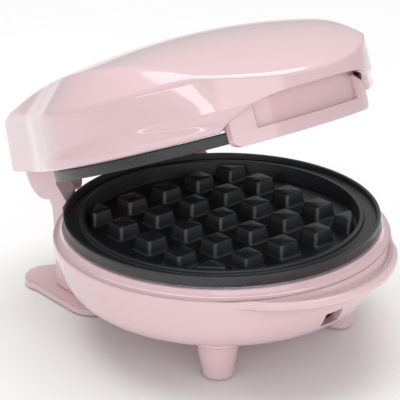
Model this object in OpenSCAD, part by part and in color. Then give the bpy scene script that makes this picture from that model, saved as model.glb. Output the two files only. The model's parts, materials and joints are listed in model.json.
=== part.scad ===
// Mini waffle maker: round clam-shell grill with a hinged lid, in millimetres.
// The lid is drawn ajar. Lid pieces are modelled closed and then swung open.

/* [Placing] */
// Distance of the plates' axis behind the origin (negative is in front)
axis_y = -7.5; // [-12:0.1:0]
// How far the lid is drawn open, in degrees
lid_open = 22.3; // [0:0.1:60]

/* [Cooking plates] */
// Outer radius of both cooking plates
plate_r = 60; // [58:0.5:60.2]
// Height of the lower plate's rim above the table
plate_top = 46.2; // [45.5:0.1:46.6]
// Gap between the closed plates
plate_gap = 0.4; // [0.3:0.1:0.8]
// Height of the plates' outer flange
flange_h = 4; // [3.6:0.1:4]
// Radius of the waffle hollow
waffle_r = 52; // [48:0.5:53]
// Depth of the waffle hollow below the rim
waffle_depth = 6.6; // [5:0.1:7]
// Distance between neighbouring studs
stud_pitch = 17; // [15:0.5:20]
// Width of one stud
stud_w = 9.5; // [8:0.5:11]

/* [Base] */
// Radius of the bowl at its rim
bowl_r = 64.3; // [63.5:0.1:65]
// Height of the bowl's rim
bowl_top = 38.6; // [38:0.1:39]
// Height of the bowl's flat underside
bowl_bottom = 15.7; // [14:0.1:17]
// Wall thickness of the moulded casings
wall = 2.2; // [1.8:0.1:2.4]
// Radius of the front handle ledge
brim_r = 45.8; // [43:0.2:46]
// Distance of the ledge's centre in front of the plates' axis
brim_y = 28.8; // [28:0.2:31]
// Half distance between the front legs
leg_x = 30.4; // [26:0.1:32]
// Distance of the front legs in front of the plates' axis
leg_y = 33.4; // [30:0.1:36]

/* [Hinge] */
// Distance of the hinge axis behind the plates' axis
hinge_y = 68.5; // [68:0.1:69]
// Height of the hinge axis
hinge_z = 44; // [43.8:0.1:44.4]
// Radius of the hinge pins
pin_r = 2.5; // [2:0.1:3]
// Radial clearance of the lid's lugs on the pins
pin_clearance = 0.05; // [0.03:0.01:0.1]
// Half width of the rear bracket
bracket_x = 36.5; // [35:0.5:37]

/* [Lid] */
// Radius of the lid's wall
lid_r = 62.2; // [62:0.1:62.5]
// Height of the lip when the lid is closed
lip_z = 51; // [50.8:0.1:51.2]
// Height at which the side bevel starts
bevel_z = 70.8; // [70:0.2:73]
// Height of the crowned top
crown_z = 87.2; // [86:0.1:88]
// Radius of the crown from front to rear
crown_long_r = 213; // [205:1:240]
// Radius of the crown from side to side
crown_side_r = 276; // [240:2:320]
// Distance of the crown's highest point behind the plates' axis
crown_y = 5.5; // [3:0.5:9]
// Radius of the visor over the front handle
visor_r = 54.4; // [53:0.2:56]
// Distance of the visor's centre in front of the plates' axis
visor_y = 15; // [13:0.5:16]
// Distance of the lid's rear wall behind the plates' axis
lid_rear = 82; // [81.5:0.1:83]

/* [Hidden] */

$fn = 96;
fine = 0.01;          // overlap that makes unions and cuts clean
gap = 0.2;            // clearance between fixed neighbours
big = 300;

pink = [0.93, 0.80, 0.81];
black = [0.13, 0.13, 0.14];
steel = [0.72, 0.73, 0.75];
dark_steel = [0.38, 0.38, 0.40];
tin = [0.82, 0.83, 0.84];
ceramic = [0.93, 0.91, 0.86];
rubber = [0.30, 0.30, 0.31];
red_wire = [0.75, 0.20, 0.16];
sleeve_white = [0.90, 0.90, 0.86];

// heating assembly, measured as depth behind the plates' meeting plane
rim_w = 1.5;                        // width of the plate's outer lip
channel_depth = 2.2;                // depth of the drip channel
fence_w = 1.6;                      // width of the ring round the waffle hollow
fence_depth = 0.7;                  // the ring stands this far below the rim
stud_depth = 1.1;                   // stud tops stand this far below the rim
plate_floor = 3;                    // metal left under the hollow
plate_wall = 2;                     // metal left round the hollow
plate_back = waffle_depth + plate_floor;
element_tube = 3.2;
element_r = 36;
element_depth = plate_back + 0.1 + element_tube;
boss_top = element_depth + element_tube;
boss_r = 3.4;
boss_inner = 27;
boss_outer = 45.5;
boss_angles = [30, 150, 270];
clamp_t = 1.2;
shield_t = 0.7;
shield_floor = boss_top + clamp_t + 2.6;
shield_r = 54.9;
shield_flange_r = 59;
frame_depth = flange_h + 0.85;      // where the casing frames begin
frame_inner = 56.2;

// plates' meeting planes
lower_z = plate_top;
upper_z = plate_top + plate_gap;

// base
bowl_floor_r = 51;
bowl_curve_z = 40;                  // height of the centre of the bowl's elliptical wall
ledge_bottom = 36;
ledge_top = 40;
frame_screw_r = 58.1;
frame_screw_angles = [20, 160, 215, 325];
lid_screw_r = 57.4;
leg_bottom = 0.6;
pad_r = 3.6;
pad_in = 1;                         // how far the pads sit in their recesses
lobe_x = 33.5;
lobe_y = 71;
lobe_r = 9.3;
wrap_t = 3.2;                       // thickness of the cord wrap plate
bracket_rear = 60;                  // at the column's two rear edges
bracket_bulge = 67;                 // at the middle of its rounded rear face
bracket_bottom = leg_bottom + wrap_t + gap;
arm_w = 7;
knuckle_y = 67.6;
knuckle_z = 49.8;
knuckle_r = 10.6;
cord_r = 3.3;
cord_z = 11.2;
grommet_y = bracket_bulge - 0.5;
grommet_wall = 2.5;

// lid
lug_outer = bracket_x - arm_w - 0.5;
lug_inner = lug_outer - 9;
lug_r = 5.6;
block_front_x = 54.2;               // half width of the lid's rear block, front and rear
block_rear_x = 39.7;
block_front_y = 30;
nose_drop = 0.0021;                  // extra fall of the crown ahead of nose_y, per mm squared
nose_y = 3.8;
arch_x = 35;                        // half width of the arched opening below the visor
arch_foot = 51;
arch_h = 8.6;
arch_power = 4.5;                   // squareness of the arch
band_z = 44.8;                      // underside of the lid's front handle
band_x = 31.9;
band_r = 63;
pocket_z = 49.7;                    // front edge of the finger pocket's floor
pocket_x = 23.5;
pocket_back = 61.5;                 // radius of the pocket's back wall
front_y = 46;                       // the front details lie ahead of this distance

// ---------- helpers ----------

module base_place() { translate([0, axis_y, 0]) children(); }

module lid_place() {
    base_place()
        translate([0, hinge_y, hinge_z]) rotate([-lid_open, 0, 0])
            translate([0, -hinge_y, -hinge_z]) children();
}

// depth coordinates for the two heating assemblies
module lower_side() { base_place() translate([0, 0, lower_z]) mirror([0, 0, 1]) children(); }
module upper_side() { lid_place() translate([0, 0, upper_z]) children(); }

module both_sides() {
    children();
    mirror([1, 0, 0]) children();
}

// outline drawn in (y, z) and extruded along x from x0 to x1
module along_x(x0, x1) {
    translate([x0, 0, 0]) rotate([90, 0, 90]) linear_extrude(x1 - x0) children();
}

module ring(r_out, r_in, h) {
    difference() {
        cylinder(r = r_out, h = h);
        translate([0, 0, -1]) cylinder(r = r_in, h = h + 2);
    }
}

// screw with its head's underside at z = 0 and its shank pointing down
module screw(shank_r, length, head_r, head_h) {
    difference() {
        union() {
            cylinder(r = head_r, h = head_h, $fn = 32);
            translate([0, 0, -length]) cylinder(r = shank_r, h = length + fine, $fn = 32);
        }
        for (a = [0, 90])
            rotate(a) translate([-head_r * 0.6, -0.35, head_h * 0.45]) cube([head_r * 1.2, 0.7, head_h]);
    }
}

// round tube through a list of points, with a ring of eight corners at each point
function unit(v) = v / norm(v);
function tangent(p, i) = unit(p[min(i + 1, len(p) - 1)] - p[max(i - 1, 0)]);
function side(t) = unit(cross(t, abs(t.z) > 0.9 ? [1, 0, 0] : [0, 0, 1]));
function tube_ring(p, i, r) =
    let (t = tangent(p, i), u = side(t), v = cross(t, u))
        [for (k = [0:7]) p[i] + r * (cos(45 * k) * u + sin(45 * k) * v)];

module tube(p, r) {
    n = len(p);
    walls = [for (i = [0:n - 2], k = [0:7])
        [8 * i + k, 8 * i + (k + 1) % 8, 8 * (i + 1) + (k + 1) % 8, 8 * (i + 1) + k]];
    first = [[for (k = [7:-1:0]) k]];
    last = [[for (k = [0:7]) 8 * (n - 1) + k]];
    polyhedron([for (i = [0:n - 1]) each tube_ring(p, i, r)], concat(first, walls, last));
}

// points of a smooth curve from a to b whose ends leave along da and db
function bend(a, da, b, db, steps = 10) =
    [for (i = [0:steps]) let (s = i / steps)
        pow(1 - s, 3) * a + 3 * pow(1 - s, 2) * s * (a + da)
        + 3 * (1 - s) * s * s * (b + db) + pow(s, 3) * b];

// ---------- heating assembly, in depth coordinates ----------

module stud_grid() {
    half = ceil(waffle_r / stud_pitch);
    intersection() {
        for (i = [-half:half], j = [-half:half])
            translate([i * stud_pitch - stud_w / 2, j * stud_pitch - stud_w / 2, stud_depth])
                cube([stud_w, stud_w, waffle_depth - stud_depth + fine]);
        cylinder(r = waffle_r - 1.2, h = plate_back);
    }
}

module bosses(r_at) {
    for (a = boss_angles)
        rotate(a) translate([r_at, 0, 0]) children();
}

module cooking_plate() {
    difference() {
        union() {
            cylinder(r = plate_r, h = flange_h);
            cylinder(r = waffle_r + plate_wall, h = plate_back);
            bosses(boss_inner) translate([0, 0, plate_back - fine])
                cylinder(r = boss_r, h = boss_top - plate_back, $fn = 32);
            bosses(boss_outer) translate([0, 0, plate_back - fine])
                cylinder(r = boss_r, h = boss_top - plate_back, $fn = 32);
        }
        translate([0, 0, -1]) ring(plate_r - rim_w, waffle_r + fence_w, channel_depth + 1);
        translate([0, 0, -1]) cylinder(r = waffle_r + fence_w + fine, h = fence_depth + 1);
        translate([0, 0, -1]) cylinder(r = waffle_r, h = waffle_depth + 1);
        bosses(boss_inner) translate([0, 0, boss_top - 5]) cylinder(r = 1.25, h = 6, $fn = 24);
        bosses(boss_outer) translate([0, 0, boss_top - 5]) cylinder(r = 1.25, h = 6, $fn = 24);
    }
    stud_grid();
}

// tubular heater: an open ring whose two cold ends turn outwards at the rear
module heating_element() {
    opening = 18;
    collar_r = element_tube - 0.3;
    translate([0, 0, element_depth]) {
        rotate(90 + opening) rotate_extrude(angle = 360 - 2 * opening)
            translate([element_r, 0]) circle(r = element_tube, $fn = 32);
        for (s = [-1, 1])
            translate([s * element_r * sin(opening), element_r * cos(opening) - collar_r, 0])
                rotate([-90, 0, 0]) {
                    cylinder(r = collar_r, h = 11, $fn = 32);
                    cylinder(r = 1.4, h = 16.5, $fn = 24);
                }
    }
}

module element_clamps() {
    for (a = boss_angles)
        rotate(a) difference() {
            translate([boss_inner - 4, -5, boss_top + 0.05])
                cube([boss_outer - boss_inner + 8, 10, clamp_t]);
            for (r = [boss_inner, boss_outer])
                translate([r, 0, boss_top - 1]) cylinder(r = 1.6, h = 4, $fn = 24);
        }
}

module plate_screws() {
    for (r = [boss_inner, boss_outer])
        bosses(r) translate([0, 0, boss_top + 0.1 + clamp_t])
            screw(1.25, 5.4, 2.5, 1.5);
}

module heat_shield() {
    difference() {
        union() {
            translate([0, 0, flange_h + 0.08])
                cylinder(r = shield_flange_r, h = shield_t);
            translate([0, 0, flange_h + 0.08])
                cylinder(r = shield_r, h = shield_floor - flange_h + shield_t);
        }
        translate([0, 0, 0]) cylinder(r = shield_r - shield_t, h = shield_floor);
        // ways through for the wires to the heater and to the thermostat
        for (s = [-1, 1]) {
            translate([s * 11.4, 47.2, shield_floor - 1]) cylinder(r = 3.2, h = 4, $fn = 32);
            translate([s * 7.7, 12.6, shield_floor - 1]) cylinder(r = 4.6, h = 4, $fn = 32);
        }
    }
}

// ---------- base ----------

function bowl_wall(inset) =
    [for (t = [90:-6:0])
        [bowl_floor_r - inset + (bowl_r - bowl_floor_r) * cos(t),
         bowl_curve_z - (bowl_curve_z - bowl_bottom - inset) * sin(t)]];

// bowl's outer form, grown by extra, as a solid of revolution
module bowl_solid(inset) {
    intersection() {
        rotate_extrude() polygon(concat([[0, bowl_bottom + inset]], bowl_wall(inset), [[0, bowl_curve_z]]));
        translate([0, 0, -1]) cylinder(r = big, h = bowl_top + 1);
    }
}

// thumb ledge: a rounded plate whose top is dished
module ledge() {
    difference() {
        translate([0, -brim_y, 0]) rotate_extrude() polygon([
            [0, ledge_bottom], [brim_r - 2.4, ledge_bottom], [brim_r - 0.7, ledge_bottom + 0.8],
            [brim_r, ledge_bottom + 2.4], [brim_r, ledge_top - 1.1], [brim_r - 0.5, ledge_top - 0.3],
            [brim_r - 1.3, ledge_top], [0, ledge_top]]);
        translate([0, -brim_y, 0]) rotate_extrude() polygon([
            [0, ledge_bottom + 1.9], [brim_r - 9, ledge_bottom + 1.9], [brim_r - 5, ledge_bottom + 2.5],
            [brim_r - 2.3, ledge_top], [brim_r - 2.3, ledge_top + 1], [0, ledge_top + 1]]);
        translate([-big / 2, -brim_y + 14, 0]) cube(big);
    }
}

module leg(grow = 0) {
    rotate_extrude($fn = 48) polygon([
        [0, leg_bottom], [4.5, leg_bottom], [5.3, leg_bottom + 0.4], [5.7, leg_bottom + 1.5],
        [8, bowl_bottom + 0.5], [8, bowl_bottom + wall], [0, bowl_bottom + wall]]);
}

module bowl_posts() {
    for (a = frame_screw_angles)
        rotate(a) translate([frame_screw_r, 0, 20])
            cylinder(r = 2.9, h = bowl_top - 20 - 1.5, $fn = 32);
}

module base_bowl() {
    color(pink) base_place() difference() {
        union() {
            difference() {
                union() {
                    bowl_solid(0);
                    ledge();
                }
                bowl_solid(wall);
            }
            intersection() {
                bowl_posts();
                bowl_solid(wall / 2);
            }
            both_sides() translate([leg_x, -leg_y, 0]) leg();
        }
        // room for the frame inside the ledge
        translate([0, 0, bowl_top]) cylinder(r = bowl_r, h = 10);
        // recesses for the rubber feet
        both_sides() translate([leg_x, -leg_y, 0]) cylinder(r = pad_r, h = leg_bottom + pad_in, $fn = 32);
        // pilot holes of the frame screws
        for (a = frame_screw_angles)
            rotate(a) translate([frame_screw_r, 0, 28]) cylinder(r = 1.25, h = 20, $fn = 24);
        // slot in the front wall and raised front edge
        translate([-4.2, -70, 20.6]) cube([8.4, 20, 6]);
        translate([-14, -62, 0]) cube([28, 12, bowl_bottom + 1.6]);
        // rear wall: screw holes to the bracket and the cord's way in
        both_sides() translate([15, 40, 27]) rotate([-90, 0, 0]) cylinder(r = 1.7, h = 40, $fn = 24);
        translate([0, 46, bowl_bottom - 1]) cylinder(r = 4.5, h = wall + 2, $fn = 32);
    }
}

// heat-resistant ring that carries the lower plate
module base_frame() {
    color(pink) base_place() difference() {
        rotate_extrude() polygon([
            [frame_inner, lower_z - frame_depth], [plate_r + 0.35, lower_z - frame_depth],
            [plate_r + 0.35, 41.9], [plate_r + 0.8, 42], [bowl_r - 1, bowl_top + 0.3],
            [bowl_r - 0.7, bowl_top + 0.1 + gap / 2], [bowl_r - 0.7, bowl_top + 0.1],
            [bowl_r - wall - 0.3, bowl_top + 0.1],
            [bowl_r - wall - 0.3, bowl_top - 1.3], [frame_inner, bowl_top - 1.3]]);
        for (a = frame_screw_angles)
            rotate(a) translate([frame_screw_r, 0, 0]) {
                cylinder(r = 1.5, h = 60, $fn = 24);
                translate([0, 0, 39.2]) cylinder(r = 2.2, h = 5, $fn = 32);
            }
    }
}

module base_frame_screws() {
    color(steel) base_place()
        for (a = frame_screw_angles)
            rotate(a) translate([frame_screw_r, 0, 39.3]) screw(1.25, 9, 2, 1.5);
}

module knuckle_profile() {
    translate([knuckle_y, knuckle_z]) circle(r = knuckle_r, $fn = 72);
    polygon([[46, 30], [bracket_rear - 0.4, 30], [bracket_rear + 0.5, 38], [62.5, 40.5], [67, 39.6],
             [67.6, 50], [60.4, 56], [61.3, 52.5], [55.6, 47.3], [51.1, 43.6], [46, 40.5]]);
}

// plan of the column, whose rear face bulges
module column_plan() {
    sag = bracket_bulge - bracket_rear;
    bulge_r = (bracket_x * bracket_x + sag * sag) / (2 * sag);
    intersection() {
        translate([-bracket_x, 40]) square([2 * bracket_x, 40]);
        translate([0, bracket_bulge - bulge_r]) circle(r = bulge_r, $fn = 360);
    }
}

module rear_bracket() {
    color(pink) base_place() difference() {
        union() {
            translate([0, 0, bracket_bottom]) linear_extrude(35.2 - bracket_bottom) column_plan();
            both_sides() along_x(bracket_x - arm_w, bracket_x) knuckle_profile();
        }
        // room for the bowl and for the ring inside it
        bowl_clearance();
        // hollow under the bowl
        difference() {
            translate([-bracket_x + wall, 42, 0])
                cube([2 * (bracket_x - wall), bracket_rear - 42 - wall, bowl_bottom - gap]);
            both_sides() translate([27, 52, 0]) cylinder(r = 4, h = bowl_bottom, $fn = 32);
        }
        translate([-12, 50, 0]) cube([24, bracket_bulge - 50 - 3, bowl_bottom - gap]);
        // blind holes that hold the hinge pins
        both_sides() translate([lug_inner, hinge_y, hinge_z]) rotate([0, 90, 0])
            cylinder(r = pin_r, h = bracket_x - 1.5 - lug_inner, $fn = 48);
        // cord inlet, with a flat for the grommet
        translate([0, bracket_bulge - 8, cord_z]) rotate([-90, 0, 0]) cylinder(r = cord_r + 2, h = 10, $fn = 48);
        translate([0, grommet_y, cord_z]) rotate([-90, 0, 0]) cylinder(r = cord_r + 3.3, h = 10, $fn = 48);
        // screw holes
        both_sides() translate([15, 50, 27]) rotate([-90, 0, 0]) cylinder(r = 1.25, h = 12.3, $fn = 24);
        both_sides() translate([27, 52, 0]) cylinder(r = 1.25, h = 13.6, $fn = 24);
    }
}

// the bowl's outer form with clearance all round, open at the top
module bowl_clearance() {
    rotate_extrude() polygon(concat(
        [[0, bowl_bottom - gap]],
        [for (p = bowl_wall(0)) [p.x + gap, p.y - gap]],
        [[plate_r + 1.7, bowl_curve_z + 4], [plate_r + 1.5, bowl_curve_z + 20], [0, bowl_curve_z + 20]]));
}

module wrap_outline() {
    both_sides() translate([lobe_x, lobe_y]) circle(r = lobe_r);
    difference() {
        union() {
            both_sides() translate([30, 42]) circle(r = 12);
            translate([-30, 30]) square([60, 20]);
            translate([-42, 42]) square([84, lobe_y - 42]);
            translate([-lobe_x, lobe_y - 1]) square([2 * lobe_x, lobe_r]);
        }
        translate([0, 120]) circle(r = 50);
    }
}

// rear foot, round which the lead is wound for storage
module cord_wrap_plate() {
    edge = 0.8;
    color(pink) base_place() difference() {
        translate([0, 0, leg_bottom]) {
            linear_extrude(wrap_t - edge) wrap_outline();
            translate([0, 0, wrap_t - edge - fine]) linear_extrude(edge) offset(r = -edge) wrap_outline();
        }
        both_sides() translate([lobe_x, lobe_y, 0]) cylinder(r = pad_r, h = leg_bottom + pad_in, $fn = 32);
        both_sides() translate([27, 52, 0]) {
            cylinder(r = 1.7, h = 10, $fn = 24);
            cylinder(r = 3, h = leg_bottom + 1.8, $fn = 32);
        }
    }
}

module rubber_feet() {
    color(rubber) base_place() {
        both_sides() translate([leg_x, -leg_y, 0])
            cylinder(r = pad_r - 0.1, h = leg_bottom + pad_in - 0.05, $fn = 32);
        both_sides() translate([lobe_x, lobe_y, 0])
            cylinder(r = pad_r - 0.1, h = leg_bottom + pad_in - 0.05, $fn = 32);
    }
}

module wrap_plate_screws() {
    color(steel) base_place()
        both_sides() translate([27, 52, leg_bottom + 1.75]) mirror([0, 0, 1]) screw(1.25, 9, 2.7, 1.5);
}

module bracket_screws() {
    color(steel) base_place()
        both_sides() translate([15, 56.1, 27]) rotate([90, 0, 0]) screw(1.25, 6, 2.7, 1.5);
}

module cord_grommet() {
    color(rubber) base_place() translate([0, grommet_y, cord_z]) rotate([-90, 0, 0]) {
        translate([0, 0, -grommet_wall]) ring(cord_r + 1.9, cord_r, grommet_wall + fine);
        ring(cord_r + 3, cord_r, 1.8);
        translate([0, 0, -grommet_wall - 1.5]) ring(cord_r + 1.9, cord_r, 1.51);
    }
}

// saddle that grips the lead behind the grommet
module cord_clamp() {
    color(ceramic) base_place() difference() {
        translate([-9, 47, 6.4]) cube([18, 6, 8.6]);
        translate([0, 46, cord_z]) rotate([-90, 0, 0]) cylinder(r = cord_r, h = 8, $fn = 48);
        for (x = [-6.4, 6.4])
            translate([x, 50, 6]) cylinder(r = 1.2, h = 10, $fn = 24);
    }
}

module terminal_block() {
    color(ceramic) base_place() difference() {
        translate([-14, 26, bowl_bottom + wall + 0.1]) cube([28, 11, 7.5]);
        for (x = [-9, 0, 9]) {
            translate([x, 25, bowl_bottom + wall + 3.4]) rotate([-90, 0, 0]) cylinder(r = 1.7, h = 13, $fn = 24);
            translate([x, 31.5, bowl_bottom + wall + 4]) cylinder(r = 1.7, h = 5, $fn = 24);
        }
    }
}

module base_leads() {
    lead_z = bowl_bottom + wall + 3.5;
    color(red_wire) base_place() both_sides() {
        tube(bend([9, 38.2, lead_z], [0, 8, 0], [12, 48, 31.4], [0, 0, -7]), 1.1);
        tube(bend([9, 24.8, lead_z], [0, -7, 0], [6.4, 1, 28.3], [0.7, 11, 0]), 1.1);
    }
}

module lower_plate() { color(black) lower_side() cooking_plate(); }
module lower_element() { color(dark_steel) lower_side() heating_element(); }
module lower_element_clamps() { color(steel) lower_side() element_clamps(); }
module lower_plate_screws() { color(steel) lower_side() plate_screws(); }
module lower_heat_shield() { color(tin) lower_side() heat_shield(); }

// snap-disc thermostat under the middle of the lower plate
module thermostat() {
    color(ceramic) lower_side() {
        translate([0, 0, plate_back + 0.1]) cylinder(r = 8, h = 2.4);
        translate([0, 0, plate_back + 2.4]) cylinder(r = 6.8, h = 4.6);
        for (s = [-1, 1])
            translate([s * 4.5 - 0.4, -2, plate_back + 6.9]) cube([0.8, 4, 2.2]);
    }
}

module hinge_pin() {
    translate([lug_inner - 1.2, hinge_y, hinge_z]) rotate([0, 90, 0])
        cylinder(r = pin_r, h = bracket_x - 1.5 - lug_inner + 1.2, $fn = 48);
}

module hinge_pin_left() { color(steel) base_place() mirror([1, 0, 0]) hinge_pin(); }
module hinge_pin_right() { color(steel) base_place() hinge_pin(); }

// ---------- lid ----------

// lip and wall of the lid, as (outward shift, height) points
lid_section = [[0.6, 0], [1.5, 0.7], [1.8, 2], [1.5, 3.6], [0.7, 5.4], [0.1, 7.6], [0, 10]];
lid_steps = 120;

// distance along the unit direction d to a circle of radius r centred at (0, cy)
function to_circle(d, r, cy) =
    let (b = d.y * cy, c = r * r - cy * cy + b * b) c < 0 ? 0 : b + sqrt(c);

// distance along d to the rear block's flanks and rear wall, which lean by lean_x and lean_y
function to_block(d, inset, lean_x, lean_y) =
    let (slope = (block_front_x - block_rear_x) / (lid_rear - block_front_y),
         flank = (block_front_x + slope * block_front_y - (inset + lean_x) * sqrt(1 + slope * slope))
             / (abs(d.x) + slope * d.y),
         rear = (lid_rear - inset - lean_y) / d.y)
        d.y < 0.2 ? 0 : min(flank, rear);

// radius of the lid's plan at height z, with the visor flaring out above the lip
function lid_plan(d, inset, z, out) =
    let (rise = max(0, z - lip_z - 3) / (bevel_z - lip_z),
         flare = visor_r - inset - 5 * max(0, 1 - (z - lip_z) / 7))
        max(lid_r - inset + out - 0.4 * rise, to_circle(d, flare, -visor_y),
            to_block(d, inset, rise, 4 * rise));

// height of the crowned top
function crown(x, y, inset) =
    crown_z - inset - (crown_side_r - sqrt(crown_side_r * crown_side_r - x * x))
    - (crown_long_r - sqrt(crown_long_r * crown_long_r - pow(y - crown_y, 2)))
    - nose_drop * pow(max(0, -nose_y - y), 2);

// height at which the bevel starts, rising towards the rear
function bevel_at(y, inset) = bevel_z - 0.4 * inset + 0.09 * max(0, y - 30);

// radius at which the bevel, which starts at radius r, meets the crown
function ridge(d, r, inset, turns = 12) =
    turns == 0 ? r
    : let (q = ridge(d, r, inset, turns - 1), top = crown(q * d.x, q * d.y, inset))
        0.5 * q + 0.5 * (r - max(0.5, top - bevel_at(r * d.y, inset)));

// height of the casing's lower edge: arched below the visor, rising towards the rear
function edge_z(d) =
    let (s = lid_plan(d, 0, lip_z + 6, 0), x = abs((s - wall) * d.x), y = s * d.y)
        y < -30 && x < arch_x ? max(lip_z, arch(x) + 2 * gap) : lip_z + 0.04 * max(0, y - 46);

function lid_ring(k, inset) = [for (i = [0:lid_steps - 1])
    let (a = 360 * i / lid_steps, d = [cos(a), sin(a)],
         r = lid_plan(d, inset, bevel_z, 0), q = ridge(d, r, inset), low = len(lid_section))
        k < low
        ? let (z = max(lip_z + lid_section[k].y, edge_z(d) + 0.2 * k),
               s = lid_plan(d, inset, z, lid_section[k].x))
            [s * d.x, s * d.y, z]
        : k == low
        ? [r * d.x, r * d.y, min(bevel_at(r * d.y, inset), crown(r * d.x, r * d.y, inset) - 0.5)]
        : let (s = q * (low + 7 - k) / 6) [s * d.x, s * d.y, crown(s * d.x, s * d.y, inset)]];

// lid casing as one closed skin: outer face, inner face and the edge between them
module lid_casing() {
    n = lid_steps;
    rings = len(lid_section) + 7;
    inner = rings * n;
    apex = 2 * inner;
    function quad(a, b, c, d) = [[a, b, c], [a, c, d]];
    polyhedron(
        concat([for (k = [0:rings - 1]) each lid_ring(k, 0)],
               [for (k = [0:rings - 1]) each lid_ring(k, wall)],
               [[0, 0, crown(0, 0, 0)], [0, 0, crown(0, 0, wall)]]),
        concat(
            [for (k = [0:rings - 2], i = [0:n - 1]) let (j = (i + 1) % n)
                each quad(k * n + i, k * n + n + i, k * n + n + j, k * n + j)],
            [for (k = [0:rings - 2], i = [0:n - 1]) let (j = (i + 1) % n)
                each quad(inner + k * n + j, inner + k * n + n + j, inner + k * n + n + i, inner + k * n + i)],
            [for (i = [0:n - 1]) let (j = (i + 1) % n) each quad(i, j, inner + j, inner + i)],
            [for (i = [0:n - 1]) let (j = (i + 1) % n) [(rings - 1) * n + i, apex, (rings - 1) * n + j]],
            [for (i = [0:n - 1]) let (j = (i + 1) % n)
                [inner + (rings - 1) * n + j, apex + 1, inner + (rings - 1) * n + i]]));
}

// arched opening below the visor, drawn in (x, z) and grown by extra
function arch(x) = arch_foot + arch_h * (1 - pow(abs(x) / arch_x, arch_power));

module arch_profile(extra) {
    half = arch_x + extra;
    polygon(concat(
        [[-half, band_z - 1]],
        [for (t = [-1:0.125:1]) let (x = arch_x * sin(90 * t)) [x * half / arch_x, arch(x) + extra]],
        [[half, band_z - 1]]));
}

// boss for a lid screw, joined to the side wall by a rib
module lid_boss() {
    cylinder(r = 2.1, h = 11, $fn = 24);
    translate([0, -1.2, 0.5]) cube([3.6, 2.4, 9]);
}

module lid_shell() {
    color(pink) lid_place() difference() {
        union() {
            lid_casing();
            for (a = frame_screw_angles)
                rotate(a) translate([lid_screw_r, 0, upper_z + frame_depth + 4.2]) lid_boss();
        }
        for (a = frame_screw_angles)
            rotate(a) translate([lid_screw_r, 0, lip_z]) cylinder(r = 1.25, h = 13, $fn = 24);
    }
}

// front handle below the visor, with its finger pocket
module band_profile() {
    corner = 3;
    intersection() {
        arch_profile(0);
        union() {
            translate([-band_x, band_z + corner]) square([2 * band_x, 20]);
            translate([corner - band_x, band_z]) square([2 * (band_x - corner), 20]);
            both_sides() translate([band_x - corner, band_z + corner]) circle(r = corner, $fn = 32);
        }
    }
}

module lid_handle() {
    roof_z = arch_foot + arch_h + gap;
    difference() {
        intersection() {
            translate([0, -front_y, 0]) rotate([90, 0, 0]) linear_extrude(40) band_profile();
            translate([0, 0, band_z]) cylinder(r = band_r, h = 40);
        }
        translate([0, 0, band_z - 1]) cylinder(r = plate_r + 0.6, h = lip_z - band_z + 1.6);
        translate([0, 0, band_z - 1]) cylinder(r = frame_inner, h = 30);
        // finger pocket below the visor
        difference() {
            translate([-pocket_x, -90, pocket_z]) cube([2 * pocket_x, 90, 30]);
            translate([0, 0, pocket_z - 1]) cylinder(r = pocket_back, h = 40);
        }
    }
    // roof that closes the shell above the pocket
    difference() {
        intersection() {
            translate([0, -visor_y, roof_z]) cylinder(r = visor_r - wall - gap, h = 1.6);
            translate([-40, -80, roof_z]) cube([80, 80 - front_y - 5, 1.6]);
        }
        translate([0, 0, roof_z - 1]) cylinder(r = frame_inner, h = 4);
    }
    // wall between the roof and the ring
    intersection() {
        translate([0, 0, pocket_z + 3]) ring(pocket_back, pocket_back - 1.8, roof_z - pocket_z - 2);
        translate([-pocket_x - 4, -80, pocket_z]) cube([2 * pocket_x + 8, 80 - front_y - 4, 30]);
    }
}

module lid_frame() {
    z0 = upper_z + frame_depth;
    color(pink) lid_place() difference() {
        union() {
            translate([0, 0, z0]) ring(lid_r - wall - gap, frame_inner, 4);
            lid_handle();
            // floor of the rear block and the two hinge lugs
            difference() {
                translate([-lug_outer, 50, z0]) cube([2 * lug_outer, hinge_y + lug_r - 50, 4]);
                translate([0, 0, z0 - 1]) cylinder(r = frame_inner + 1, h = 10);
            }
            both_sides() along_x(lug_inner, lug_outer) {
                translate([hinge_y, hinge_z]) circle(r = lug_r, $fn = 48);
                translate([hinge_y - lug_r, hinge_z]) square([2 * lug_r, z0 - hinge_z + 3]);
            }
        }
        both_sides() translate([lug_inner - 1, hinge_y, hinge_z]) rotate([0, 90, 0])
            cylinder(r = pin_r + pin_clearance, h = 11, $fn = 48);
        for (a = frame_screw_angles)
            rotate(a) translate([lid_screw_r, 0, 0]) {
                cylinder(r = 1.5, h = 80, $fn = 24);
                translate([0, 0, z0 - 1]) cylinder(r = 2.1, h = 3, $fn = 32);
            }
        translate([0, 0, z0 - 3]) cylinder(r = shield_flange_r + 0.3, h = 3 - 0.05);
    }
}

module lid_screws() {
    color(steel) lid_place()
        for (a = frame_screw_angles)
            rotate(a) translate([lid_screw_r, 0, upper_z + frame_depth + 1.95])
                mirror([0, 0, 1]) screw(1.25, 8, 1.9, 1.5);
}

module upper_plate() { color(black) upper_side() cooking_plate(); }
module upper_element() { color(dark_steel) upper_side() heating_element(); }
module upper_element_clamps() { color(steel) upper_side() element_clamps(); }
module upper_plate_screws() { color(steel) upper_side() plate_screws(); }
module upper_heat_shield() { color(tin) upper_side() heat_shield(); }

module thermal_fuse() {
    color(tin) upper_side() translate([-6, 0, shield_floor + shield_t + 2.6]) rotate([0, 90, 0]) {
        cylinder(r = 2, h = 12, $fn = 32);
        translate([0, 0, -7]) cylinder(r = 0.6, h = 26, $fn = 24);
    }
}

module fuse_clip() {
    z0 = shield_floor + shield_t + 0.15;
    color(steel) upper_side() {
        translate([-3, -5.2, z0]) cube([6, 10.4, 0.2]);
        for (s = [-1, 1])
            translate([-3, s * 2.45 - 0.3, z0]) cube([6, 0.6, 4]);
    }
}

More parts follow.
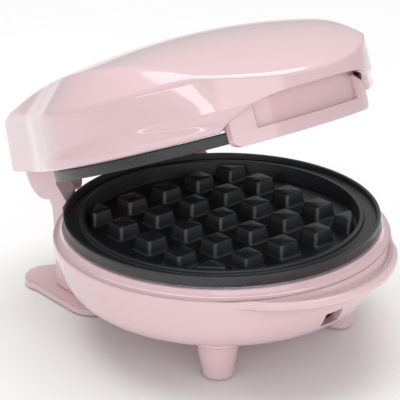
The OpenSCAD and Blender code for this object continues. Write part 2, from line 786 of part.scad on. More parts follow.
module lid_leads() {
    z0 = shield_floor + shield_t + 2.6;
    color(sleeve_white) upper_side() both_sides()
        tube(bend([13.5, 0, z0], [4, 0, 0], [14, 46, z0 + 2], [3, -12, 0]), 1.2);
}

base_bowl();
base_frame();
rear_bracket();
cord_wrap_plate();
rubber_feet();
cord_grommet();
cord_clamp();
terminal_block();
base_leads();
lower_plate();
lower_element();
lower_element_clamps();
lower_plate_screws();
lower_heat_shield();
thermostat();
base_frame_screws();
bracket_screws();
wrap_plate_screws();
hinge_pin_left();
hinge_pin_right();
lid_shell();
lid_frame();
upper_plate();
upper_element();
upper_element_clamps();
upper_plate_screws();
upper_heat_shield();
thermal_fuse();
fuse_clip();
lid_leads();
lid_screws();
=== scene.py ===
"""Small round waffle maker, lid ajar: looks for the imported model.

Lengths are in millimetres, in a frame whose z axis is the axis of the cooking plates, until
`place` turns them into the shared frame in metres. Lid pieces are drawn closed and then swung open.
"""

import json
from math import cos, radians, sin

import bmesh
import bpy
import numpy as np
from mathutils import Matrix, Vector


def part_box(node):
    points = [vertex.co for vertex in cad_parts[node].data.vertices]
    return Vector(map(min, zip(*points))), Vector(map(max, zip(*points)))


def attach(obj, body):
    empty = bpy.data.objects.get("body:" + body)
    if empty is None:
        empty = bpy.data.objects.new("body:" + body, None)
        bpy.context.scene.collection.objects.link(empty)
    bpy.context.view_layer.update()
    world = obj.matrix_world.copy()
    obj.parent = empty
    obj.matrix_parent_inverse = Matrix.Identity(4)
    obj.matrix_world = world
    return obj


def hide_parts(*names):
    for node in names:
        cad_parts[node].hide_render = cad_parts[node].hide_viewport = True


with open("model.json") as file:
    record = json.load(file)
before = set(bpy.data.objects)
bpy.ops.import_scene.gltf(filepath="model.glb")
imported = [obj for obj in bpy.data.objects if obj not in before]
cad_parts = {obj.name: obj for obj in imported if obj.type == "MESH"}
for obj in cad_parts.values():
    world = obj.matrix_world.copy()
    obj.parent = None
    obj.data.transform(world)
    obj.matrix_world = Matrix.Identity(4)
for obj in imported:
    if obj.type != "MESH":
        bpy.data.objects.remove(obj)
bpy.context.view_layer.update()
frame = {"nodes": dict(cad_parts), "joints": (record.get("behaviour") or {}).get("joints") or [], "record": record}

# ---------- driving sizes, taken from the frame where it holds them ----------

MM = 0.001
plate_low, plate_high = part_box("lower_plate")
AXIS_Y = (plate_low.y + plate_high.y) / 2 / MM
PLATE_R = (plate_high.x - plate_low.x) / 2 / MM
PLATE_TOP = plate_high.z / MM
hinge = frame["joints"][0]
HINGE_Y = hinge["pos_m"][1] / MM - AXIS_Y
HINGE_Z = hinge["pos_m"][2] / MM
LID_OPEN = -hinge["range_deg"][0]
PLATE_GAP = 0.4  # between the closed plates
WALL = 2.2  # thickness of the plastic
RING_STEPS = 480  # points round the casing, the bowl and the frame

# bowl and its thumb ledge, whose rim is an arc centred at LEDGE_Y
BOWL_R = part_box("base_bowl")[1].x / MM
BOWL_TOP = 38.6
BOWL_BOTTOM = 15.7
BOWL_FLOOR_R = 51
BOWL_CURVE_Z = 40  # centre of the wall's elliptical section
LEDGE_R = 45.8
LEDGE_Y = -28.8
LEDGE_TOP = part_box("base_bowl")[1].z / MM
LEDGE_BLEND = 4  # reach beyond the bowl over which the rim turns into the ledge
LEDGE_DISH = 0.7
RIM_FOOT_Z = 37.0
UNDERCUT_Z = 28.0  # where the rim's underside runs into the wall
LEG_X, LEG_Y = 30.4, -33.4
LEG_TOP = 17.2
SLOT_LOW = (-4.2, -70, 20.6)
SLOT_HIGH = (4.2, -50, 26.6)

# lid: its round plan, and the lip along its lower edge
LID_R = 62.2
LIP_Z = 51
LIP_H = 3
SIDE_LEAN = 0.4
REAR_LEAN = 4
EDGE_RISE = 0.04  # slope of the lower edge behind EDGE_RISE_Y
EDGE_RISE_Y = 46

# bevel between the sides and the top, rising behind BEVEL_RISE_Y
BEVEL_Z = 70.8
BEVEL_RISE = 0.09
BEVEL_RISE_Y = 30
BEVEL_BELOW_CROWN = 0.5

# crown: a long arc and a side arc, and a nose that drops towards the front
CROWN_Z = 87.2
CROWN_LONG_R = 213
CROWN_SIDE_R = 276
CROWN_Y = 5.5
NOSE_DROP = 0.0021
NOSE_Y = -3.8

# visor over the handle, which narrows by VISOR_FLARE towards the lip
VISOR_R = 54.4
VISOR_Y = -15
VISOR_FLARE = 5
VISOR_FLARE_H = 7

# rear block, tapering from front to rear
BLOCK_REAR_Y = 82
BLOCK_FRONT_Y = 30
BLOCK_FRONT_X = 54.2
BLOCK_REAR_X = 39.7
BLOCK_CORNER = 5
BLOCK_START = 0.2  # sine of the direction from which the block counts

# arched cut-out in the lip, over the handle
ARCH_X = 35
ARCH_FOOT = 51
ARCH_H = 8.6
ARCH_POWER = 4.5
ARCH_CLEARANCE = 0.4
ARCH_BACK_Y = -30

# ---------- mesh helpers ----------

turn = np.linspace(0, 2 * np.pi, RING_STEPS, endpoint=False)
DX, DY = np.cos(turn), np.sin(turn)


def swing(points):
    """Lid points turned about the hinge from closed to open."""
    y, z = points[:, 1] - HINGE_Y, points[:, 2] - HINGE_Z
    c, s = cos(radians(LID_OPEN)), sin(radians(LID_OPEN))
    return np.stack([points[:, 0], y * c + z * s + HINGE_Y, z * c - y * s + HINGE_Z], axis=1)


def place(points, body):
    """Points of the drawing frame as points of the shared frame."""
    points = np.asarray(points, float)
    if body == "lid":
        points = swing(points)
    return (points + [0, AXIS_Y, 0]) * MM


def loft(rings, ends=None):
    """Surface through rings of equally many points, its ends closed by two points or joined."""
    count, n = rings.shape[:2]
    points = rings.reshape(-1, 3)
    faces = []
    for k in range(count if ends is None else count - 1):
        a, b = k * n, (k + 1) % count * n
        faces += [(a + i, a + (i + 1) % n, b + (i + 1) % n, b + i) for i in range(n)]
    if ends is not None:
        first, last = count * n, count * n + 1
        faces += [(first, (i + 1) % n, i) for i in range(n)]
        faces += [(last, last - n - 1 + i, last - n - 1 + (i + 1) % n) for i in range(n)]
        points = np.vstack([points, ends])
    return points, faces


def ring(radius, height):
    """Ring of points round the axis; both values can vary with the direction."""
    return np.stack([radius * DX, radius * DY, height * np.ones(RING_STEPS)], axis=1)


def revolve(outline, steps, at=(0, 0)):
    """Solid of revolution; the (radius, height) outline starts and ends on the axis."""
    outline = np.asarray(outline, float)
    angles = np.linspace(0, 2 * np.pi, steps, endpoint=False)
    r, z = outline[1:-1, 0], outline[1:-1, 1]
    rings = np.stack([r[:, None] * np.cos(angles) + at[0], r[:, None] * np.sin(angles) + at[1],
                      np.repeat(z[:, None], steps, axis=1)], axis=2)
    return loft(rings, [[*at, outline[0, 1]], [*at, outline[-1, 1]]])


def bend(a, corner, b, u):
    """Point at u of the curve that leaves a and reaches b, drawn towards the corner."""
    return (1 - u) ** 2 * a + 2 * u * (1 - u) * corner + u * u * b


def rounded(outline, radius, steps=4):
    """Open outline, with every corner but its ends rounded by about the radius."""
    outline = [np.asarray(p, float) for p in outline]
    out = [outline[0]]
    for before, corner, after in zip(outline, outline[1:], outline[2:]):
        back, ahead = before - corner, after - corner
        reach = min(radius, 0.45 * np.linalg.norm(back), 0.45 * np.linalg.norm(ahead))
        a = corner + back / np.linalg.norm(back) * reach
        b = corner + ahead / np.linalg.norm(ahead) * reach
        for u in np.linspace(0, 1, steps + 1):
            out.append(bend(a, corner, b, u))
    return np.array(out + [outline[-1]])


def smooth_curve(points, steps):
    """Catmull-Rom curve through the points, with so many steps to each span."""
    p = np.asarray(points, float)
    p = np.vstack([2 * p[0] - p[1], p, 2 * p[-1] - p[-2]])
    out = []
    for a, b, c, d in zip(p, p[1:], p[2:], p[3:]):
        for u in np.linspace(0, 1, steps, endpoint=False):
            out.append(0.5 * (2 * b + (c - a) * u + (2 * a - 5 * b + 4 * c - d) * u**2
                              + (3 * b - a - 3 * c + d) * u**3))
    return np.array(out + [p[-2]])


def joined(*shells):
    """Several (points, faces) shells as one."""
    points, faces, start = [], [], 0
    for shell_points, shell_faces in shells:
        points.append(shell_points)
        faces += [tuple(start + i for i in face) for face in shell_faces]
        start += len(shell_points)
    return np.vstack(points), faces


def piece(name, shell, body, replaced, slot, crease=35):
    """New object from a shell, riding on a body in place of the CAD nodes."""
    points, faces = shell
    mesh = bpy.data.meshes.new(name)
    mesh.from_pydata(place(points, body).tolist(), [], faces)
    bm = bmesh.new()
    bm.from_mesh(mesh)
    bmesh.ops.recalc_face_normals(bm, faces=bm.faces)
    bm.to_mesh(mesh)
    bm.free()
    mesh.shade_smooth()
    mesh.set_sharp_from_angle(angle=radians(crease))
    obj = bpy.data.objects.new(name, mesh)
    bpy.context.scene.collection.objects.link(obj)
    mesh.materials.append(materials[slot])
    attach(obj, body)
    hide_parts(*replaced)
    return obj


def soft_max(a, b, width):
    """Larger of a and b, with the corner between them rounded."""
    h = np.clip(0.5 + 0.5 * (a - b) / width, 0, 1)
    return a * h + b * (1 - h) + width * h * (1 - h)


def ease(x):
    """Smooth step from 0 to 1."""
    x = np.clip(x, 0, 1)
    return x * x * (3 - 2 * x)


def to_circle(r, cy):
    """Distance from the axis, in every direction, to a circle centred at (0, cy)."""
    b = DY * cy
    return b + np.sqrt(np.maximum(r * r - cy * cy + b * b, 0))


# ---------- materials ----------


class Nodes:
    """A material with a Principled shader, built up by short calls."""

    def __init__(self, name):
        self.material = bpy.data.materials.new(name)
        self.material.use_nodes = True
        self.tree = self.material.node_tree
        self.shader = self.tree.nodes["Principled BSDF"]
        self.where = self.tree.nodes.new("ShaderNodeTexCoord").outputs["Object"]

    def add(self, kind, **inputs):
        node = self.tree.nodes.new(kind)
        for key, value in inputs.items():
            self.put(node, key, value)
        return node

    def put(self, node, key, value):
        socket = node.inputs[key.replace("_", " ")]
        if isinstance(value, bpy.types.NodeSocket):
            self.tree.links.new(value, socket)
        else:
            socket.default_value = value

    def shade(self, **inputs):
        for key, value in inputs.items():
            self.put(self.shader, key, value)

    def noise(self, scale, detail=3.0):
        return self.add("ShaderNodeTexNoise", Vector=self.where, Scale=scale, Detail=detail).outputs["Fac"]

    def spread(self, value, low, high):
        """Noise value, which mostly lies between 0.3 and 0.7, mapped to low to high."""
        node = self.add("ShaderNodeMapRange", Value=value)
        node.inputs["From Min"].default_value = 0.3
        node.inputs["From Max"].default_value = 0.7
        node.inputs["To Min"].default_value = low
        node.inputs["To Max"].default_value = high
        return node.outputs["Result"]

    def ramp(self, value, *stops):
        node = self.add("ShaderNodeValToRGB", Fac=value)
        node.color_ramp.elements[0].position, node.color_ramp.elements[0].color = stops[0]
        node.color_ramp.elements[1].position, node.color_ramp.elements[1].color = stops[-1]
        for position, colour in stops[1:-1]:
            node.color_ramp.elements.new(position).color = colour
        return node.outputs["Color"]

    def soft_edges(self, radius):
        """Normal that rounds sharp edges by the radius."""
        return self.add("ShaderNodeBevel", Radius=radius).outputs["Normal"]

    def bump(self, height, depth, strength, normal=None):
        node = self.add("ShaderNodeBump", Height=height, Strength=strength, Distance=depth)
        if normal is not None:
            self.tree.links.new(normal, node.inputs["Normal"])
        self.shade(Normal=node.outputs["Normal"])


def pink_plastic():
    """Glossy moulded plastic with a faint flow mottle and orange peel."""
    m = Nodes("pink_plastic")
    mottle = m.noise(28, 4)
    m.shade(Base_Color=m.ramp(mottle, (0.3, (0.785, 0.560, 0.590, 1)), (0.7, (0.805, 0.580, 0.610, 1))),
            Roughness=m.spread(m.noise(160), 0.16, 0.22), IOR=1.5,
            Subsurface_Weight=0.06, Subsurface_Scale=0.004,
            Coat_Weight=0.8, Coat_Roughness=0.03)
    m.shader.inputs["Subsurface Radius"].default_value = (1.0, 0.5, 0.45)
    m.bump(m.noise(420, 2), 0.00002, 0.25, m.soft_edges(0.0006))
    return m.material


def nonstick_aluminium():
    """Dark speckled non-stick coating with a satin sheen."""
    m = Nodes("nonstick_aluminium")
    speckle = m.noise(2600, 2)
    cloud = m.noise(60, 4)
    colour = m.ramp(speckle, (0.35, (0.016, 0.017, 0.019, 1)), (0.62, (0.026, 0.027, 0.030, 1)),
                    (0.74, (0.075, 0.077, 0.082, 1)))
    m.shade(Base_Color=colour, Roughness=m.spread(cloud, 0.34, 0.46), IOR=1.55,
            Coat_Weight=0.15, Coat_Roughness=0.3)
    m.bump(m.noise(1900, 3), 0.00005, 0.35)
    return m.material


def zinc_steel():
    """Zinc-plated steel with fine turning marks."""
    m = Nodes("zinc_steel")
    grain = m.noise(900, 5)
    m.shade(Base_Color=m.ramp(grain, (0.3, (0.52, 0.53, 0.55, 1)), (0.7, (0.68, 0.69, 0.71, 1))),
            Metallic=1.0, Roughness=m.spread(grain, 0.24, 0.42))
    m.bump(grain, 0.00002, 0.3)
    return m.material


def heater_tube():
    """Oxidised steel sheath."""
    m = Nodes("heater_tube")
    scale_patches = m.noise(220, 6)
    m.shade(Base_Color=m.ramp(scale_patches, (0.3, (0.10, 0.10, 0.11, 1)), (0.7, (0.20, 0.18, 0.17, 1))),
            Metallic=0.9, Roughness=m.spread(scale_patches, 0.45, 0.65))
    m.bump(m.noise(1500), 0.00003, 0.4)
    return m.material


def tinned_sheet():
    """Bright sheet with soft rolling streaks."""
    m = Nodes("tinned_sheet")
    stretch = m.add("ShaderNodeMapping", Vector=m.where)
    stretch.inputs["Scale"].default_value = (1, 14, 14)
    streaks = m.add("ShaderNodeTexNoise", Vector=stretch.outputs["Vector"], Scale=90.0,
                    Detail=4.0).outputs["Fac"]
    m.shade(Base_Color=m.ramp(streaks, (0.3, (0.60, 0.61, 0.62, 1)), (0.7, (0.74, 0.75, 0.76, 1))),
            Metallic=1.0, Roughness=m.spread(streaks, 0.22, 0.40))
    m.bump(streaks, 0.00001, 0.3)
    return m.material


def rubber():
    """Matt grey rubber with a fine moulded grain."""
    m = Nodes("rubber")
    grain = m.noise(1400, 4)
    m.shade(Base_Color=m.ramp(grain, (0.3, (0.030, 0.030, 0.031, 1)), (0.7, (0.050, 0.050, 0.052, 1))),
            Roughness=m.spread(grain, 0.70, 0.88), IOR=1.45)
    m.bump(grain, 0.00006, 0.5)
    return m.material


def ceramic():
    """Unglazed off-white steatite."""
    m = Nodes("ceramic")
    grain = m.noise(700, 5)
    m.shade(Base_Color=m.ramp(grain, (0.3, (0.70, 0.66, 0.57, 1)), (0.7, (0.80, 0.77, 0.68, 1))),
            Roughness=m.spread(grain, 0.50, 0.68), IOR=1.5)
    m.bump(grain, 0.00004, 0.4)
    return m.material


def phenolic():
    """Dark brown moulding with a powdery mottle."""
    m = Nodes("phenolic")
    mottle = m.noise(300, 5)
    m.shade(Base_Color=m.ramp(mottle, (0.3, (0.030, 0.021, 0.016, 1)), (0.7, (0.055, 0.040, 0.030, 1))),
            Roughness=m.spread(mottle, 0.42, 0.60), IOR=1.55)
    m.bump(m.noise(1100), 0.00003, 0.3)
    return m.material


def sleeved_wire():
    """Woven heat sleeve."""
    m = Nodes("sleeved_wire")
    weave = m.add("ShaderNodeTexWave", Vector=m.where, Scale=900.0, Distortion=1.5, Detail=2.0).outputs["Fac"]
    m.shade(Base_Color=m.ramp(weave, (0.2, (0.24, 0.030, 0.022, 1)), (0.8, (0.46, 0.090, 0.060, 1))),
            Roughness=m.spread(weave, 0.75, 0.92), Sheen_Weight=0.3)
    m.bump(weave, 0.0001, 0.6)
    return m.material


materials = {
    "pink_plastic": pink_plastic(),
    "nonstick_aluminium": nonstick_aluminium(),
    "zinc_steel": zinc_steel(),
    "heater_tube": heater_tube(),
    "tinned_sheet": tinned_sheet(),
    "rubber": rubber(),
    "ceramic": ceramic(),
    "phenolic": phenolic(),
    "sleeved_wire": sleeved_wire(),
}
for part in frame["record"]["subparts"]:
    mesh = frame["nodes"][part["node"]].data
    mesh.materials.clear()
    mesh.materials.append(materials[part["material_slot"]])

# ---------- lid casing ----------

# lip: outward and upward from the lower edge
LIP_SECTION = smooth_curve([(0.2, 0), (0.9, 0.25), (1.55, 0.9), (1.8, 2), (1.5, 3.6), (0.7, 5.4),
                            (0.1, 7.6), (0, 10)], 4)
LIP_LEAST_STEP = 0.05


def to_block(inset, lean_x, lean_y):
    """Distance to the rear block's flanks and rear wall."""
    slope = (BLOCK_FRONT_X - BLOCK_REAR_X) / (BLOCK_REAR_Y - BLOCK_FRONT_Y)
    reach = BLOCK_FRONT_X + slope * BLOCK_FRONT_Y - (inset + lean_x) * np.hypot(1, slope)
    flank = reach / np.maximum(np.abs(DX) + slope * DY, 0.01)
    rear = (BLOCK_REAR_Y - inset - lean_y) / np.maximum(DY, 0.01)
    return np.where(DY < BLOCK_START, 0, -soft_max(-flank, -rear, BLOCK_CORNER))


def lid_plan(inset, z, out):
    """Radius of the lid's plan at height z, in every direction."""
    rise = np.maximum(0, z - LIP_Z - LIP_H) / (BEVEL_Z - LIP_Z)
    visor_r = VISOR_R - inset - VISOR_FLARE * np.maximum(0, 1 - (z - LIP_Z) / VISOR_FLARE_H)
    front = soft_max(LID_R - inset + out - SIDE_LEAN * rise, to_circle(visor_r, VISOR_Y), 3)
    blend = 0.3 + 6 * ease((DY - BLOCK_START) / 0.35)
    return soft_max(front, to_block(inset, rise, REAR_LEAN * rise), blend)


def crown(x, y, inset):
    """Height of the domed top."""
    return (CROWN_Z - inset - (CROWN_SIDE_R - np.sqrt(CROWN_SIDE_R**2 - x * x))
            - (CROWN_LONG_R - np.sqrt(CROWN_LONG_R**2 - (y - CROWN_Y) ** 2))
            - NOSE_DROP * np.maximum(0, NOSE_Y - y) ** 2)


def lid_edge():
    """Height of the lower edge: arched below the visor, rising towards the rear."""
    s = lid_plan(0, np.full(RING_STEPS, LIP_Z + 6.0), 0)
    x, y = np.abs((s - WALL) * DX), s * DY
    arch = ARCH_FOOT + ARCH_H * (1 - np.minimum(x / ARCH_X, 1) ** ARCH_POWER) + ARCH_CLEARANCE
    return np.where((y < ARCH_BACK_Y) & (x < ARCH_X), np.maximum(LIP_Z, arch),
                    LIP_Z + EDGE_RISE * np.maximum(0, y - EDGE_RISE_Y))


def lid_skin(inset, corner, ridge_round):
    """Rings of one skin of the casing, from its lower edge to near its middle."""
    edge = lid_edge()
    rings = []
    for k, (out, height) in enumerate(LIP_SECTION):
        z = np.maximum(LIP_Z + height, edge + LIP_LEAST_STEP * k)
        rings.append(ring(lid_plan(inset, z, out), z))
    # bevel: from (r, bevel) on the side, 45 degrees inward to (q, top) on the crown
    r = lid_plan(inset, np.full(RING_STEPS, BEVEL_Z), 0)
    bevel = BEVEL_Z - 0.4 * inset + BEVEL_RISE * np.maximum(0, r * DY - BEVEL_RISE_Y)
    bevel = np.minimum(bevel, crown(r * DX, r * DY, inset) - BEVEL_BELOW_CROWN)
    q = r.copy()
    for _ in range(24):
        q = 0.5 * q + 0.5 * (r - np.maximum(0.5, crown(q * DX, q * DY, inset) - bevel))
    top = crown(q * DX, q * DY, inset)
    below = bevel - 4
    foot = lid_plan(inset, below, 0)
    inward = q * 0.8
    inner_top = crown(inward * DX, inward * DY, inset)
    stops = np.array([[foot, below], [r, bevel], [q, top], [inward, inner_top]])
    for index, size in ((1, corner), (2, ridge_round)):
        before, at, after = stops[index - 1], stops[index], stops[index + 1]
        back, ahead = before - at, after - at
        reach = np.minimum(size, 0.4 * np.minimum(np.hypot(*back), np.hypot(*ahead)))
        a = at + back / np.hypot(*back) * reach
        b = at + ahead / np.hypot(*ahead) * reach
        for u in np.linspace(0, 1, 7):
            start, z = bend(a, at, b, u)
            rings.append(ring(start, z))
    for share in np.linspace(0.95, 0.05, 19):
        s = start * share
        rings.append(ring(s, crown(s * DX, s * DY, inset)))
    return np.array(rings)


def lid_casing():
    """Outer and inner skin, joined along the lower edge."""
    outer, inner = lid_skin(0, 1.5, 2.0), lid_skin(WALL, 0.5, 1.0)
    rings = np.concatenate([outer[::-1], inner])
    return loft(rings, [[0, 0, crown(0.0, 0.0, 0)], [0, 0, crown(0.0, 0.0, WALL)]])


piece("lid_casing", lid_casing(), "lid", ["lid_shell"], "pink_plastic", 50)

# ---------- bowl with thumb ledge and legs ----------


def wall_r(z, inset=0):
    """Radius of the bowl's outer wall at height z."""
    share = np.clip((BOWL_CURVE_Z - z) / (BOWL_CURVE_Z - BOWL_BOTTOM - inset), 0, 1)
    return BOWL_FLOOR_R - inset + (BOWL_R - BOWL_FLOOR_R) * np.sqrt(1 - share**2)


def bowl():
    """Hollow bowl whose rim swells at the front into the dished thumb ledge."""
    edge = soft_max(to_circle(LEDGE_R, LEDGE_Y), BOWL_R, 3)
    w = ease((edge - BOWL_R - 0.05) / LEDGE_BLEND)
    top = BOWL_TOP + (LEDGE_TOP - BOWL_TOP) * w
    inner_r = BOWL_R - WALL
    rows = [(inner_r, RIM_FOOT_Z), (inner_r, BOWL_TOP - 0.4), (inner_r + 0.4, BOWL_TOP)]
    # top, from the inner rim out to the edge
    start, stop = BOWL_R - 1.4, edge - 0.5 - 1.1 * w
    for u in np.linspace(0, 1, 12):
        dish = BOWL_TOP - LEDGE_DISH * ease(u * 3)
        dish += (LEDGE_TOP - BOWL_TOP + LEDGE_DISH) * ease((u - 0.35) / 0.65)
        rows.append((start + (stop - start) * u, BOWL_TOP + w * (dish - BOWL_TOP)))
    # rounded edge
    rows += [(edge - 0.3 - 0.4 * w, top - 0.12), (edge - 0.1 * w - 0.05, top - 0.5), (edge, top - 1.1),
             (edge, 38.0 - 0.6 * (1 - w)), (edge - 0.25 * w, 37.2 - 0.2 * (1 - w)), (edge - 0.9 * w, 36.6)]
    # underside, back to the wall
    start_s, start_z = edge - 1.9 * w, 36.3 - 0.2 * w
    for u in np.linspace(0, 1, 12):
        rows.append((bend(start_s, wall_r(35.0) + 0.3, wall_r(UNDERCUT_Z), u),
                     bend(start_z, 33.6 + 1.6 * w, UNDERCUT_Z, u)))
    # wall and floor, outside and then inside
    wall_angles = np.radians(np.arange(32, 91, 2.9))
    rows += [(wall_r(z), z) for z in BOWL_CURVE_Z - (BOWL_CURVE_Z - BOWL_BOTTOM) * np.sin(wall_angles)]
    rows += [(BOWL_FLOOR_R * f, BOWL_BOTTOM) for f in (0.93, 0.6, 0.2)]
    rows += [(BOWL_FLOOR_R * f, BOWL_BOTTOM + WALL) for f in (0.2, 0.6, 0.9)]
    rows += [(wall_r(z, WALL), z) for z in np.linspace(BOWL_BOTTOM + WALL + 0.02, RIM_FOOT_Z - 1, 14)]
    return loft(np.array([ring(s, z) for s, z in rows]))


def leg(side):
    """Tapered leg that flares into the bowl's floor."""
    outline = rounded([(0, 0.6), (4.4, 0.6), (5.6, 0.8), (5.9, 3.0), (7.2, 10.0), (7.7, 13.0), (8.7, 15.3),
                       (10.8, LEG_TOP - 1), (10.8, LEG_TOP), (0, LEG_TOP)], 1.2)
    return revolve(outline, 72, (side * LEG_X, LEG_Y))


def cut(obj, low, high, round_by):
    """Cuts a box with rounded edges out of an object, in the drawing frame."""
    bm = bmesh.new()
    bmesh.ops.create_cube(bm, size=1)
    low, high = (Vector(place([corner], "base")[0]) for corner in (low, high))
    bmesh.ops.transform(bm, matrix=Matrix.LocRotScale((low + high) / 2, None, high - low), verts=bm.verts)
    bmesh.ops.bevel(bm, geom=bm.edges, offset=round_by * MM, segments=4, profile=0.5, affect="EDGES")
    mesh = bpy.data.meshes.new("cutter")
    bm.to_mesh(mesh)
    bm.free()
    cutter = bpy.data.objects.new("cutter", mesh)
    bpy.context.scene.collection.objects.link(cutter)
    modifier = obj.modifiers.new("cut", "BOOLEAN")
    modifier.object = cutter
    modifier.operation = "DIFFERENCE"
    modifier.solver = "EXACT"
    bpy.context.view_layer.update()
    result = bpy.data.meshes.new_from_object(obj.evaluated_get(bpy.context.evaluated_depsgraph_get()))
    obj.modifiers.clear()
    obj.data = result
    bpy.data.objects.remove(cutter)


bowl_piece = piece("bowl", bowl(), "base", ["base_bowl"], "pink_plastic", 50)
for name, side in (("left", -1), ("right", 1)):
    piece(f"front_leg_{name}", leg(side), "base", [], "pink_plastic", 50)
cut(bowl_piece, SLOT_LOW, SLOT_HIGH, 0.9)

# ---------- frame between the bowl and the lower plate ----------

FRAME_INNER_R = 56.2
FRAME_OUTER_R = BOWL_R - 0.7


def frame_shell():
    """Ring whose outer shoulder is coved, from the plate down to the bowl's rim."""
    under_r = BOWL_R - WALL - 0.3
    outline = np.vstack([
        [[FRAME_INNER_R, 41.2]],
        rounded([(PLATE_R + 0.35, 41.35), (PLATE_R + 0.5, 41.6), (PLATE_R + 0.8, 41.2)], 0.2, 2),
        smooth_curve([(PLATE_R + 1.0, 40.6), (PLATE_R + 1.6, 39.7), (PLATE_R + 2.5, 39.15),
                      (FRAME_OUTER_R, 38.9)], 5),
        [[FRAME_OUTER_R, BOWL_TOP + 0.12], [under_r, BOWL_TOP + 0.12],
         [under_r, BOWL_TOP - 1.3], [FRAME_INNER_R, BOWL_TOP - 1.3]]])
    return loft(np.array([ring(r, z) for r, z in outline]))


piece("frame_ring", frame_shell(), "base", ["base_frame"], "pink_plastic", 50)

# ---------- cooking plates, by depth behind the plane in which they meet ----------

FLANGE_H = 4
WAFFLE_R = 52
WAFFLE_DEPTH = 6.6
STUD_PITCH = 17
STUD_W = 9.5
STUD_DEPTH = 1.1  # of the studs' tops
STUD_POWER = 9.0  # squareness of the studs' plan
PLATE_BACK = 9.6
BOSS_R = 3.4
BOSS_TOP = 16.1
BOSS_CIRCLES = (27, 45.5)
BOSS_ANGLES = (30, 150, 270)


def plate_body():
    """Plate with its round hollow, the drip channel, the rim and the flange."""
    outline = rounded([
        (0, WAFFLE_DEPTH), (WAFFLE_R - 0.6, WAFFLE_DEPTH), (WAFFLE_R, 0.7), (WAFFLE_R + 1.6, 0.7),
        (WAFFLE_R + 1.9, 2.2), (PLATE_R - 1.7, 2.2), (PLATE_R - 1.5, 0), (PLATE_R - 0.2, 0), (PLATE_R, 0.5),
        (PLATE_R, FLANGE_H), (WAFFLE_R + 2, FLANGE_H), (WAFFLE_R + 2, PLATE_BACK), (0, PLATE_BACK)], 0.5)
    return revolve(outline, 240)


def stud(cx, cy):
    """Tapered stud clipped to the round hollow, with rounded edges."""
    rows = [(0.75, WAFFLE_DEPTH + 0.3), (0.75, WAFFLE_DEPTH), (0.35, WAFFLE_DEPTH - 0.35),
            (0.1, WAFFLE_DEPTH - 1.2), (-0.55, STUD_DEPTH + 0.7), (-0.75, STUD_DEPTH + 0.25),
            (-1.2, STUD_DEPTH)]
    n = 48
    t = np.linspace(0, 2 * np.pi, n, endpoint=False) + np.pi / n
    rings = []
    for grow, depth in rows:
        half = STUD_W / 2 + grow
        radius = (np.abs(np.cos(t)) ** STUD_POWER + np.abs(np.sin(t)) ** STUD_POWER) ** (-1 / STUD_POWER)
        x, y = cx + half * radius * np.cos(t), cy + half * radius * np.sin(t)
        limit = WAFFLE_R - 2.2 + grow
        pull = np.minimum(1, limit / np.maximum(np.hypot(x, y), 1e-6))
        rings.append(np.stack([x * pull, y * pull, np.full(n, depth)], axis=1))
    rings = np.array(rings)
    return loft(rings, [rings[0].mean(axis=0), rings[-1].mean(axis=0)])


def plate_shell():
    """Plate, studs and screw bosses, by depth behind the meeting plane."""
    reach = np.arange(-3, 4) * STUD_PITCH
    studs = [stud(x, y) for x in reach for y in reach
             if np.hypot(max(0, abs(x) - STUD_W / 2), max(0, abs(y) - STUD_W / 2)) < WAFFLE_R - 7]
    foot = PLATE_BACK - 0.5
    bosses = [revolve([(0, foot), (BOSS_R, foot), (BOSS_R, BOSS_TOP), (0, BOSS_TOP)], 32,
                      (r * cos(radians(a)), r * sin(radians(a)))) for r in BOSS_CIRCLES for a in BOSS_ANGLES]
    return joined(plate_body(), *studs, *bosses)


def at_depth(shell, plane, direction):
    """Shell drawn by depth, set at a plane with its depth running up or down."""
    points, faces = shell
    return points * [1, 1, direction] + [0, 0, plane], faces


piece("cooking_plate_lower", at_depth(plate_shell(), PLATE_TOP, -1),
      "base", ["lower_plate"], "nonstick_aluminium")
piece("cooking_plate_upper", at_depth(plate_shell(), PLATE_TOP + PLATE_GAP, 1),
      "lid", ["upper_plate"], "nonstick_aluminium")

# ---------- floor, light and camera ----------

FLOOR_HALF = 3
SENSOR_WIDTH = 36.0


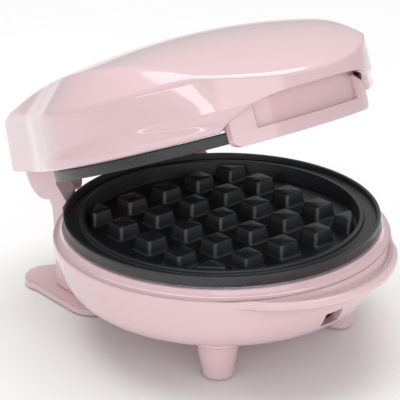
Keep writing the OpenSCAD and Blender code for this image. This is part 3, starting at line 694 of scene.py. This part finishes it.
def floor():
    """Pale paper on which the object stands."""
    mesh = bpy.data.meshes.new("floor")
    mesh.from_pydata([(x * FLOOR_HALF, y * FLOOR_HALF, 0) for x, y in ((-1, -1), (1, -1), (1, 1), (-1, 1))],
                     [], [(0, 1, 2, 3)])
    m = Nodes("floor_paper")
    m.shade(Base_Color=m.ramp(m.noise(3, 2), (0.3, (0.90, 0.90, 0.90, 1)), (0.7, (0.92, 0.92, 0.92, 1))),
            Roughness=0.7)
    mesh.materials.append(m.material)
    obj = bpy.data.objects.new("floor", mesh)
    bpy.context.scene.collection.objects.link(obj)


def area_light(name, position, target, size, power):
    data = bpy.data.lights.new(name, "AREA")
    data.shape = "RECTANGLE"
    data.size, data.size_y = size
    data.energy = power
    obj = bpy.data.objects.new(name, data)
    bpy.context.scene.collection.objects.link(obj)
    obj.location = position
    obj.rotation_euler = (Vector(target) - Vector(position)).to_track_quat("-Z", "Y").to_euler()


def world_light(strength):
    world = bpy.data.worlds.new("studio")
    bpy.context.scene.world = world
    world.use_nodes = True
    background = world.node_tree.nodes["Background"]
    background.inputs["Color"].default_value = (1, 1, 1, 1)
    background.inputs["Strength"].default_value = strength


def camera(azimuth, elevation, distance, across, upward, roll, focal):
    """Camera round the plates' axis; across and upward shift it sideways, in millimetres."""
    a, e = radians(azimuth), radians(elevation)
    back = Vector((sin(a) * cos(e), -cos(a) * cos(e), sin(e)))
    right = (-back).cross(Vector((0, 0, 1))).normalized()
    up = right.cross(-back)
    spot = back * distance + right * across + up * upward + Vector((0, AXIS_Y, 0))
    c, s = cos(radians(roll)), sin(radians(roll))
    right, up = right * c + up * s, up * c - right * s
    data = bpy.data.cameras.new("camera")
    data.sensor_width = SENSOR_WIDTH
    data.lens = focal
    obj = bpy.data.objects.new("camera", data)
    bpy.context.scene.collection.objects.link(obj)
    obj.matrix_world = Matrix.Translation(spot * MM) @ Matrix((right, up, back)).transposed().to_4x4()
    bpy.context.scene.camera = obj


floor()
world_light(0.46)
area_light("overhead", (0.1, 0.25, 1.2), (0, 0, 0.05), (1.3, 1.1), 12)
area_light("key", (-0.30, -0.85, 0.45), (0, 0, 0.07), (0.9, 0.5), 1.9)
area_light("strip", (-0.9, -0.45, 0.30), (0, 0, 0.08), (1.1, 0.06), 1.2)
bpy.context.scene.view_settings.view_transform = "Standard"
camera(azimuth=-39.4, elevation=22.7, distance=600, across=-8.19, upward=46.07, roll=-0.54, focal=138.25)
